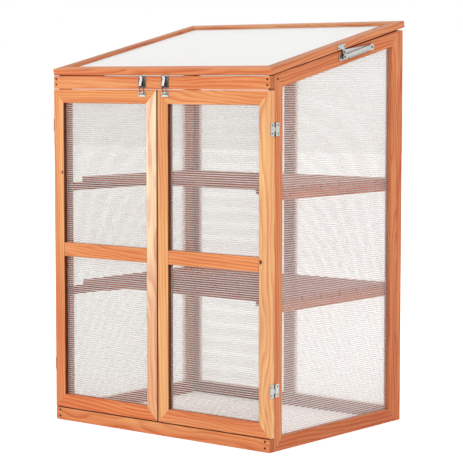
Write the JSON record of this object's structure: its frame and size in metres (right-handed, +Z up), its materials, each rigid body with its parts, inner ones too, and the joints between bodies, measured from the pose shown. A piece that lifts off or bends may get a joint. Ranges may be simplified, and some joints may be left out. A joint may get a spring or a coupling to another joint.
{
  "type": "wooden mini greenhouse",
  "caption": "Upright wooden cold frame with a sloping glazed lid, glazed double doors, slatted shelves, draw latches and a folding lid stay.",
  "frame": {"origin": "on the floor under the middle of the cabinet", "axes": "+X to the right seen from the front, +Y to the back, +Z up; the doors face -Y"},
  "size_m": [0.7733, 0.6133, 1.1108],
  "materials": {
    "timber": "orange stained softwood",
    "polycarbonate": "translucent twin-wall sheet",
    "zinc": "zinc plated"
  },
  "bodies": {
    "root": {"back_bottom_rail": "timber", "back_centre_stile": "timber", "back_left_stile": "timber", "back_panes": "polycarbonate", "back_right_stile": "timber", "back_top_rail": "timber", "base_rail": "timber", "door_hinge_frame_leaves": "zinc", "header_rail": "timber", "hinge_pins": "zinc", "latch_base_plates": "zinc", "left_side_back_stile": "timber", "left_side_bottom_rail": "timber", "left_side_front_stile": "timber", "left_side_pane": "polycarbonate", "left_side_top_rail": "timber", "lid_hinge_frame_leaves": "zinc", "lower_shelf_slats": "timber", "right_side_back_stile": "timber", "right_side_bottom_rail": "timber", "right_side_front_stile": "timber", "right_side_pane": "polycarbonate", "right_side_top_rail": "timber", "shelf_battens": "timber", "shelf_cleats": "timber", "stay_side_bracket": "zinc", "stay_side_rivet": "zinc", "upper_shelf_slats": "timber"},
    "lid": {"lid_front_rail": "timber", "lid_back_rail": "timber", "lid_left_rail": "timber", "lid_right_rail": "timber", "lid_pane": "polycarbonate", "lid_hinge_lid_leaves": "zinc", "stay_lid_bracket": "zinc", "stay_lid_rivet": "zinc"},
    "stay_lower_arm": {"stay_lower_arm": "zinc", "stay_elbow_rivet": "zinc"},
    "stay_upper_arm": {"stay_upper_arm": "zinc"},
    "left_door": {"left_door_hinge_stile": "timber", "left_door_meeting_stile": "timber", "left_door_top_rail": "timber", "left_door_mid_rail": "timber", "left_door_bottom_rail": "timber", "left_door_panes": "polycarbonate", "left_door_hinge_leaves": "zinc", "left_latch_strike": "zinc"},
    "left_latch_lever": {"left_latch_lever": "zinc"},
    "left_latch_bail": {"left_latch_bail": "zinc"},
    "right_door": {"right_door_hinge_stile": "timber", "right_door_meeting_stile": "timber", "right_door_top_rail": "timber", "right_door_mid_rail": "timber", "right_door_bottom_rail": "timber", "right_door_panes": "polycarbonate", "right_door_hinge_leaves": "zinc", "right_latch_strike": "zinc"},
    "right_latch_lever": {"right_latch_lever": "zinc"},
    "right_latch_bail": {"right_latch_bail": "zinc"}
  },
  "joints": [
    {"name": "lid_lift", "type": "hinge", "parent": "root", "child": "lid", "pos_m": [0, 0.30249, 1.08802], "axis": [-1, 0, 0], "range_deg": [0, 45]},
    {"name": "stay_lower_swing", "type": "hinge", "parent": "root", "child": "stay_lower_arm", "pos_m": [0.3859, 0.01272, 1.00912], "axis": [1, 0, 0], "range_deg": [0, 49.64]},
    {"name": "stay_upper_swing", "type": "hinge", "parent": "lid", "child": "stay_upper_arm", "pos_m": [0.3836, 0.01293, 1.02197], "axis": [-1, 0, 0], "range_deg": [0, 42.06]},
    {"name": "left_door_swing", "type": "hinge", "parent": "root", "child": "left_door", "pos_m": [-0.382, -0.27875, 0.4794], "axis": [0, 0, -1], "range_deg": [0, 180]},
    {"name": "left_latch_open", "type": "hinge", "parent": "root", "child": "left_latch_lever", "pos_m": [-0.051, -0.305, 0.93536], "axis": [1, 0, 0], "range_deg": [0, 150]},
    {"name": "left_bail_swing", "type": "hinge", "parent": "left_latch_lever", "child": "left_latch_bail", "pos_m": [-0.051, -0.3019, 0.94836], "axis": [1, 0, 0], "range_deg": [-150, 0]},
    {"name": "right_door_swing", "type": "hinge", "parent": "root", "child": "right_door", "pos_m": [0.382, -0.27875, 0.4794], "axis": [0, 0, 1], "range_deg": [0, 180]},
    {"name": "right_latch_open", "type": "hinge", "parent": "root", "child": "right_latch_lever", "pos_m": [0.029, -0.305, 0.93536], "axis": [1, 0, 0], "range_deg": [0, 150]},
    {"name": "right_bail_swing", "type": "hinge", "parent": "right_latch_lever", "child": "right_latch_bail", "pos_m": [0.029, -0.3019, 0.94836], "axis": [1, 0, 0], "range_deg": [-150, 0]}
  ],
  "couplings": [
    {"joint": "stay_lower_swing", "follows": "lid_lift", "ratio": 1.1021},
    {"joint": "stay_upper_swing", "follows": "lid_lift", "ratio": 0.93352},
    {"joint": "left_bail_swing", "follows": "left_latch_open", "ratio": -1},
    {"joint": "right_bail_swing", "follows": "right_latch_open", "ratio": -1}
  ]
}
